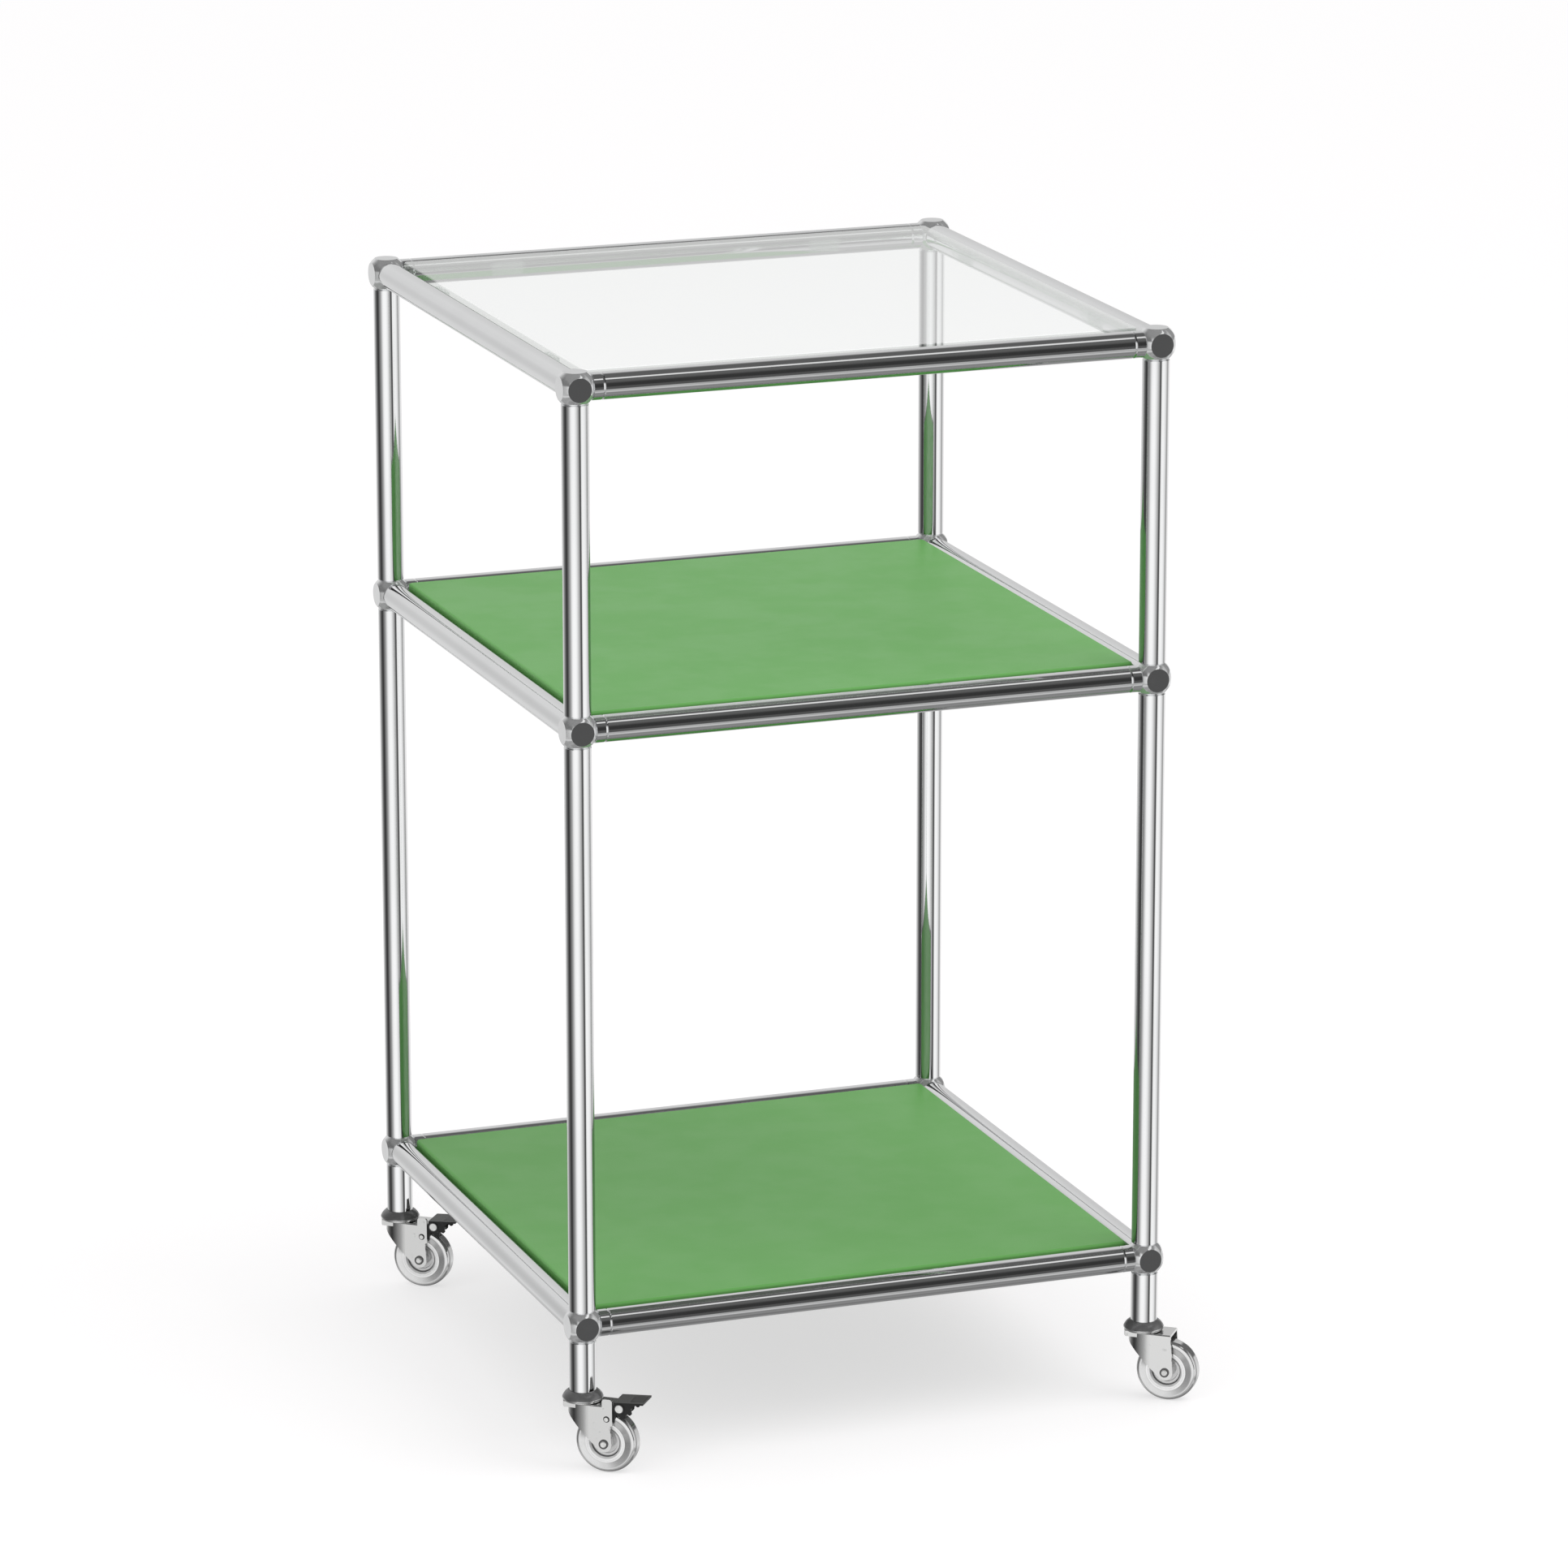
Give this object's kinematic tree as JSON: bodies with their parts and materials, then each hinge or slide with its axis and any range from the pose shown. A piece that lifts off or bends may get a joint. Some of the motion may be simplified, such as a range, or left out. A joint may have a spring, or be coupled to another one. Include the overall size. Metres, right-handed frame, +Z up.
{
  "type": "spa trolley cart",
  "caption": "Open rolling spa trolley: chrome tube frame with ball corner connectors, clear glass top, green folded-metal shelves, swivel casters, foot brakes at one side.",
  "frame": {"origin": "on the floor under the middle of the tube frame", "axes": "+X along the front rails to the trolley's right, +Y to its back, +Z up"},
  "size_m": [0.4241, 0.4258, 0.7],
  "materials": {
    "tube_chrome": "polished",
    "ball_chrome": "polished, with flat faces",
    "cap_chrome": "dark polished",
    "fork_plate": "satin bright plate",
    "screw_steel": "turned, zinc plated",
    "green_paint": "semi-gloss powder coat, sage green",
    "clear_glass": "clear, polished edges",
    "clear_plastic": "clear moulded",
    "clip_plastic": "moulded grey",
    "hub_plastic": "translucent light grey",
    "clear_tyre": "translucent grey polyurethane, glossy",
    "black_paint": "black coat"
  },
  "bodies": {
    "trolley_frame": {"corner_balls": "ball_chrome", "post_lower_front_left": "tube_chrome", "post_lower_front_right": "tube_chrome", "post_lower_back_left": "tube_chrome", "post_lower_back_right": "tube_chrome", "post_middle_front_left": "tube_chrome", "post_middle_front_right": "tube_chrome", "post_middle_back_left": "tube_chrome", "post_middle_back_right": "tube_chrome", "post_upper_front_left": "tube_chrome", "post_upper_front_right": "tube_chrome", "post_upper_back_left": "tube_chrome", "post_upper_back_right": "tube_chrome", "rail_bottom_front": "tube_chrome", "rail_bottom_back": "tube_chrome", "rail_bottom_left": "tube_chrome", "rail_bottom_right": "tube_chrome", "rail_middle_front": "tube_chrome", "rail_middle_back": "tube_chrome", "rail_middle_left": "tube_chrome", "rail_middle_right": "tube_chrome", "rail_top_front": "tube_chrome", "rail_top_back": "tube_chrome", "rail_top_left": "tube_chrome", "rail_top_right": "tube_chrome", "rail_sleeves": "tube_chrome", "tube_plugs": "screw_steel", "ball_studs": "screw_steel", "glass_top": "clear_glass", "glass_clips": "clear_plastic", "shelf_middle": "green_paint", "shelf_clips_middle": "clip_plastic", "shelf_bottom": "green_paint", "shelf_clips_bottom": "clip_plastic", "caster_stems": "screw_steel", "caster_caps": "cap_chrome", "swivel_rings": "fork_plate", "swivel_balls": "screw_steel"},
    "lever_front_left": {"brake_lever_front_left": "black_paint"},
    "caster_front_left": {"fork_front_left": "fork_plate", "axle_front_left": "screw_steel", "brake_bracket_front_left": "black_paint", "brake_pins_front_left": "screw_steel"},
    "wheel_front_left": {"wheel_hub_front_left": "hub_plastic", "tyre_front_left": "clear_tyre"},
    "caster_front_right": {"fork_front_right": "fork_plate", "axle_front_right": "screw_steel"},
    "wheel_front_right": {"wheel_hub_front_right": "hub_plastic", "tyre_front_right": "clear_tyre"},
    "lever_back_left": {"brake_lever_back_left": "black_paint"},
    "caster_back_left": {"fork_back_left": "fork_plate", "axle_back_left": "screw_steel", "brake_bracket_back_left": "black_paint", "brake_pins_back_left": "screw_steel"},
    "wheel_back_left": {"wheel_hub_back_left": "hub_plastic", "tyre_back_left": "clear_tyre"},
    "caster_back_right": {"fork_back_right": "fork_plate", "axle_back_right": "screw_steel"},
    "wheel_back_right": {"wheel_hub_back_right": "hub_plastic", "tyre_back_right": "clear_tyre"}
  },
  "joints": [
    {"name": "swivel_front_left", "type": "hinge", "parent": "trolley_frame", "child": "caster_front_left", "pos_m": [-0.19, -0.19, 0.0452], "axis": [0, 0, 1], "continuous": true},
    {"name": "wheel_spin_front_left", "type": "hinge", "parent": "caster_front_left", "child": "wheel_front_left", "pos_m": [-0.177, -0.20016, 0.02], "axis": [0.6157, 0.788, 0], "continuous": true},
    {"name": "brake_lever_front_left", "type": "hinge", "parent": "caster_front_left", "child": "lever_front_left", "pos_m": [-0.1688, -0.20656, 0.0444], "axis": [0.6157, 0.788, 0], "range_deg": [0, 25]},
    {"name": "swivel_front_right", "type": "hinge", "parent": "trolley_frame", "child": "caster_front_right", "pos_m": [0.19, -0.19, 0.0452], "axis": [0, 0, 1], "continuous": true},
    {"name": "wheel_spin_front_right", "type": "hinge", "parent": "caster_front_right", "child": "wheel_front_right", "pos_m": [0.203, -0.20016, 0.02], "axis": [0.6157, 0.788, 0], "continuous": true},
    {"name": "swivel_back_left", "type": "hinge", "parent": "trolley_frame", "child": "caster_back_left", "pos_m": [-0.19, 0.19, 0.0452], "axis": [0, 0, 1], "continuous": true},
    {"name": "wheel_spin_back_left", "type": "hinge", "parent": "caster_back_left", "child": "wheel_back_left", "pos_m": [-0.177, 0.17984, 0.02], "axis": [0.6157, 0.788, 0], "continuous": true},
    {"name": "brake_lever_back_left", "type": "hinge", "parent": "caster_back_left", "child": "lever_back_left", "pos_m": [-0.1688, 0.17344, 0.0444], "axis": [0.6157, 0.788, 0], "range_deg": [0, 25]},
    {"name": "swivel_back_right", "type": "hinge", "parent": "trolley_frame", "child": "caster_back_right", "pos_m": [0.19, 0.19, 0.0452], "axis": [0, 0, 1], "continuous": true},
    {"name": "wheel_spin_back_right", "type": "hinge", "parent": "caster_back_right", "child": "wheel_back_right", "pos_m": [0.203, 0.17984, 0.02], "axis": [0.6157, 0.788, 0], "continuous": true}
  ]
}
